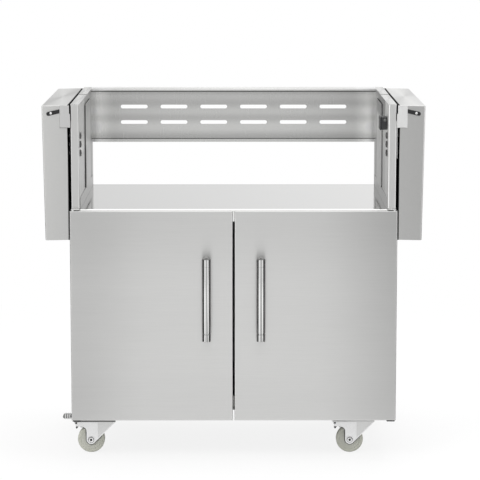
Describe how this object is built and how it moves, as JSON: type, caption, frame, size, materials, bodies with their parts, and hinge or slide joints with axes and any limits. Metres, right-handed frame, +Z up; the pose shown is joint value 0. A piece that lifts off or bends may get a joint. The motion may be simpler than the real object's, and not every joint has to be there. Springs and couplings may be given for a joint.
{
  "type": "grill cart",
  "caption": "Stainless steel outdoor grill cart: double-door cabinet on braked casters, open bay for a built-in grill head, slotted back and fold-down side shelves.",
  "frame": {"origin": "on the floor, under the middle of the bounding box with doors shut and shelves folded", "axes": "+X to the right as seen from the front, +Y towards the back, +Z up"},
  "size_m": [1.0508, 0.705, 0.9915],
  "materials": {
    "brushed_steel": "horizontal brushed",
    "plain_steel": "mill",
    "polished_deck": "polished",
    "polished_bar": "polished",
    "bracket_steel": "satin",
    "zinc_steel": "bright zinc",
    "black_steel": "black oxide",
    "grey_rubber": "matt",
    "grey_plastic": "moulded",
    "black_plastic": "moulded",
    "pale_plastic": "moulded"
  },
  "bodies": {
    "cart": {"back_panel": "brushed_steel", "base_rail_left": "zinc_steel", "base_rail_right": "zinc_steel", "bay_liner_left": "brushed_steel", "bay_liner_right": "brushed_steel", "bracket_bolts": "zinc_steel", "cabinet_back": "plain_steel", "cabinet_floor": "plain_steel", "caster_bolts": "zinc_steel", "caster_plates": "zinc_steel", "deck": "polished_deck", "hinge_pins": "zinc_steel", "hinge_plates": "zinc_steel", "junction_box": "black_plastic", "kingpins": "zinc_steel", "magnet_catches": "pale_plastic", "shelf_arms_left": "black_steel", "shelf_arms_right": "black_steel", "shelf_brackets_left": "bracket_steel", "shelf_brackets_right": "bracket_steel", "shelf_bumpers": "grey_rubber", "shelf_pins": "zinc_steel", "side_skin_left": "brushed_steel", "side_skin_right": "brushed_steel", "top_cap_front_left": "brushed_steel", "top_cap_front_right": "brushed_steel", "top_cap_rear_left": "brushed_steel", "top_cap_rear_right": "brushed_steel"},
    "door_left": {"door_liner_left": "plain_steel", "door_skin_left": "brushed_steel", "handle_bar_left": "polished_bar", "handle_posts_left": "polished_bar", "hinge_blocks_left": "zinc_steel"},
    "door_right": {"door_liner_right": "plain_steel", "door_skin_right": "brushed_steel", "handle_bar_right": "polished_bar", "handle_posts_right": "polished_bar", "hinge_blocks_right": "zinc_steel"},
    "shelf_left": {"shelf_bushes_left": "zinc_steel", "shelf_pan_left": "brushed_steel"},
    "shelf_right": {"shelf_bushes_right": "zinc_steel", "shelf_pan_right": "brushed_steel"},
    "fork_front_left": {"axle_front_left": "zinc_steel", "fork_front_left": "zinc_steel"},
    "wheel_front_left": {"hub_front_left": "grey_plastic", "tyre_front_left": "grey_rubber"},
    "fork_front_right": {"axle_front_right": "zinc_steel", "fork_front_right": "zinc_steel"},
    "wheel_front_right": {"hub_front_right": "grey_plastic", "tyre_front_right": "grey_rubber"},
    "fork_rear_left": {"axle_rear_left": "zinc_steel", "fork_rear_left": "zinc_steel"},
    "wheel_rear_left": {"hub_rear_left": "grey_plastic", "tyre_rear_left": "grey_rubber"},
    "fork_rear_right": {"axle_rear_right": "zinc_steel", "fork_rear_right": "zinc_steel"},
    "wheel_rear_right": {"hub_rear_right": "grey_plastic", "tyre_rear_right": "grey_rubber"},
    "pedal_left": {"pedal_front_left": "grey_plastic"},
    "pedal_right": {"pedal_front_right": "grey_plastic"}
  },
  "joints": [
    {"name": "door_left_hinge", "type": "hinge", "parent": "cart", "child": "door_left", "pos_m": [-0.442, -0.2885, 0.4], "axis": [0, 0, -1], "range_deg": [0, 100]},
    {"name": "shelf_left_fold", "type": "hinge", "parent": "cart", "child": "shelf_left", "pos_m": [-0.5, 0.032, 0.9665], "axis": [0, 1, 0], "range_deg": [0, 91.12]},
    {"name": "door_right_hinge", "type": "hinge", "parent": "cart", "child": "door_right", "pos_m": [0.442, -0.2885, 0.4], "axis": [0, 0, 1], "range_deg": [0, 100]},
    {"name": "shelf_right_fold", "type": "hinge", "parent": "cart", "child": "shelf_right", "pos_m": [0.5, 0.032, 0.9665], "axis": [0, -1, 0], "range_deg": [0, 91.12]},
    {"name": "swivel_front_left", "type": "hinge", "parent": "cart", "child": "fork_front_left", "pos_m": [-0.3645, -0.1835, 0.1], "axis": [0, 0, 1], "continuous": true},
    {"name": "roll_front_left", "type": "hinge", "parent": "fork_front_left", "child": "wheel_front_left", "pos_m": [-0.4019, -0.1835, 0.038], "axis": [0, 1, 0], "continuous": true},
    {"name": "brake_left", "type": "hinge", "parent": "fork_front_left", "child": "pedal_left", "pos_m": [-0.4439, -0.1835, 0.086], "axis": [0, -1, 0], "range_deg": [0, 15]},
    {"name": "swivel_front_right", "type": "hinge", "parent": "cart", "child": "fork_front_right", "pos_m": [0.3645, -0.1835, 0.1], "axis": [0, 0, 1], "continuous": true},
    {"name": "roll_front_right", "type": "hinge", "parent": "fork_front_right", "child": "wheel_front_right", "pos_m": [0.3271, -0.1835, 0.038], "axis": [0, 1, 0], "continuous": true},
    {"name": "brake_right", "type": "hinge", "parent": "fork_front_right", "child": "pedal_right", "pos_m": [0.2851, -0.1835, 0.086], "axis": [0, -1, 0], "range_deg": [0, 15]},
    {"name": "swivel_rear_left", "type": "hinge", "parent": "cart", "child": "fork_rear_left", "pos_m": [-0.3645, 0.2635, 0.1], "axis": [0, 0, 1], "continuous": true},
    {"name": "roll_rear_left", "type": "hinge", "parent": "fork_rear_left", "child": "wheel_rear_left", "pos_m": [-0.4019, 0.2635, 0.038], "axis": [0, 1, 0], "continuous": true},
    {"name": "swivel_rear_right", "type": "hinge", "parent": "cart", "child": "fork_rear_right", "pos_m": [0.3645, 0.2635, 0.1], "axis": [0, 0, 1], "continuous": true},
    {"name": "roll_rear_right", "type": "hinge", "parent": "fork_rear_right", "child": "wheel_rear_right", "pos_m": [0.3271, 0.2635, 0.038], "axis": [0, 1, 0], "continuous": true}
  ]
}
